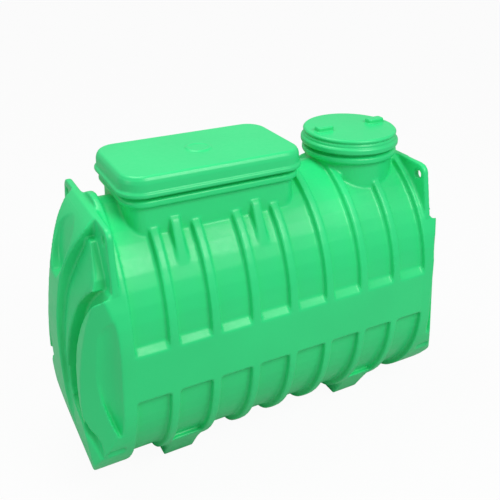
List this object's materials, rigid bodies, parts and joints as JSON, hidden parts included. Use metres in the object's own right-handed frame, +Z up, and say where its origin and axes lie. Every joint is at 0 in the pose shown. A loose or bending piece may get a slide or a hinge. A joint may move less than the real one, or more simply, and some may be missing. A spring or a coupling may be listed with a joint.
{
  "type": "septic tank",
  "caption": "Horizontal ribbed plastic septic tank with a rectangular and a round access lid, lifting plates at both ends and cross feet.",
  "frame": {"origin": "centre of the footprint, on the floor under the feet", "axes": "+X along the tank towards the round lid, +Y towards the back, +Z up"},
  "size_m": [1.973, 0.896, 1.5062],
  "materials": {
    "tank_moulding": "moulded green polyethylene with a soft sheen",
    "lid_moulding": "moulded green polyethylene, a little paler on the lids"
  },
  "bodies": {
    "root": {"tank_shell": "tank_moulding", "front_band": "tank_moulding", "back_band": "tank_moulding", "hoop_rib_1": "tank_moulding", "hoop_rib_2": "tank_moulding", "hoop_rib_3": "tank_moulding", "hoop_rib_4": "tank_moulding", "hoop_rib_5": "tank_moulding", "hoop_rib_6": "tank_moulding", "hoop_rib_7": "tank_moulding", "end_hoop_left": "tank_moulding", "end_hoop_right": "tank_moulding", "lifting_plate_left": "tank_moulding", "lifting_plate_right": "tank_moulding", "end_dome_left": "tank_moulding", "end_dome_right": "tank_moulding", "end_cheeks_left": "tank_moulding", "end_cheeks_right": "tank_moulding", "end_hood_left": "tank_moulding", "end_hood_right": "tank_moulding", "foot_left": "tank_moulding", "foot_right": "tank_moulding", "rect_neck": "tank_moulding", "rect_neck_flange": "tank_moulding", "rect_lid": "lid_moulding", "rect_lid_lip": "lid_moulding", "rect_lid_boss": "lid_moulding", "neck_buttress_front": "tank_moulding", "neck_buttress_back": "tank_moulding", "round_neck": "tank_moulding", "round_neck_flange": "tank_moulding", "round_lid": "lid_moulding", "round_lid_rim": "lid_moulding", "lid_handle_left": "lid_moulding", "lid_handle_right": "lid_moulding"}
  },
  "joints": []
}
